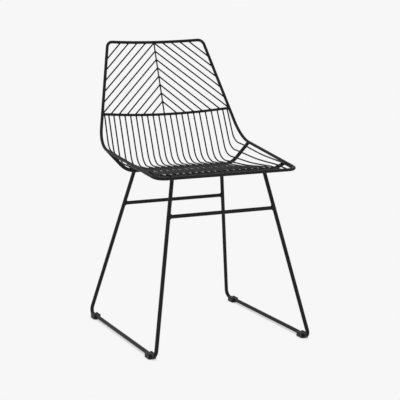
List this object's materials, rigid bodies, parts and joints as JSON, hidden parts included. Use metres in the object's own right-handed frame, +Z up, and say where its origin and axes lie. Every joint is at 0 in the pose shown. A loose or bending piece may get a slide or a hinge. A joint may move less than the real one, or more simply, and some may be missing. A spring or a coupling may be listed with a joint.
{
  "type": "wire mesh chair",
  "caption": "Wire mesh side chair with a bent perimeter rod, chevron wire back, curved wire seat and splayed sled legs joined by stretchers.",
  "frame": {"origin": "on the floor, at the middle of the chair's bounding box", "axes": "+Z up, -Y the way the chair faces, +X to the left of a person seated in it; the chair mirrors across X = 0"},
  "size_m": [0.47, 0.5343, 0.788],
  "materials": {
    "black_coat": "satin black powder coat on steel rod",
    "glide_plastic": "fine matte dark plastic"
  },
  "bodies": {
    "root": {"back_crossbar": "black_coat", "back_spine_wire": "black_coat", "chevron_wire_left_01": "black_coat", "chevron_wire_left_02": "black_coat", "chevron_wire_left_03": "black_coat", "chevron_wire_left_04": "black_coat", "chevron_wire_left_05": "black_coat", "chevron_wire_left_06": "black_coat", "chevron_wire_left_07": "black_coat", "chevron_wire_left_08": "black_coat", "chevron_wire_left_09": "black_coat", "chevron_wire_left_10": "black_coat", "chevron_wire_left_11": "black_coat", "chevron_wire_left_12": "black_coat", "chevron_wire_right_01": "black_coat", "chevron_wire_right_02": "black_coat", "chevron_wire_right_03": "black_coat", "chevron_wire_right_04": "black_coat", "chevron_wire_right_05": "black_coat", "chevron_wire_right_06": "black_coat", "chevron_wire_right_07": "black_coat", "chevron_wire_right_08": "black_coat", "chevron_wire_right_09": "black_coat", "chevron_wire_right_10": "black_coat", "chevron_wire_right_11": "black_coat", "chevron_wire_right_12": "black_coat", "front_left_glide": "glide_plastic", "front_right_glide": "glide_plastic", "front_seat_bar": "black_coat", "front_stretcher": "black_coat", "left_sled_leg": "black_coat", "perimeter_frame": "black_coat", "rear_left_glide": "glide_plastic", "rear_right_glide": "glide_plastic", "rear_seat_bar": "black_coat", "rear_stretcher": "black_coat", "right_sled_leg": "black_coat", "seat_wire_01": "black_coat", "seat_wire_02": "black_coat", "seat_wire_03": "black_coat", "seat_wire_04": "black_coat", "seat_wire_05": "black_coat", "seat_wire_06": "black_coat", "seat_wire_07": "black_coat", "seat_wire_08": "black_coat", "seat_wire_09": "black_coat", "seat_wire_10": "black_coat", "seat_wire_11": "black_coat", "seat_wire_12": "black_coat", "seat_wire_13": "black_coat", "seat_wire_14": "black_coat", "seat_wire_15": "black_coat", "seat_wire_16": "black_coat", "seat_wire_17": "black_coat", "seat_wire_18": "black_coat", "seat_wire_19": "black_coat", "seat_wire_20": "black_coat", "seat_wire_21": "black_coat", "seat_wire_22": "black_coat", "seat_wire_23": "black_coat"}
  },
  "joints": []
}
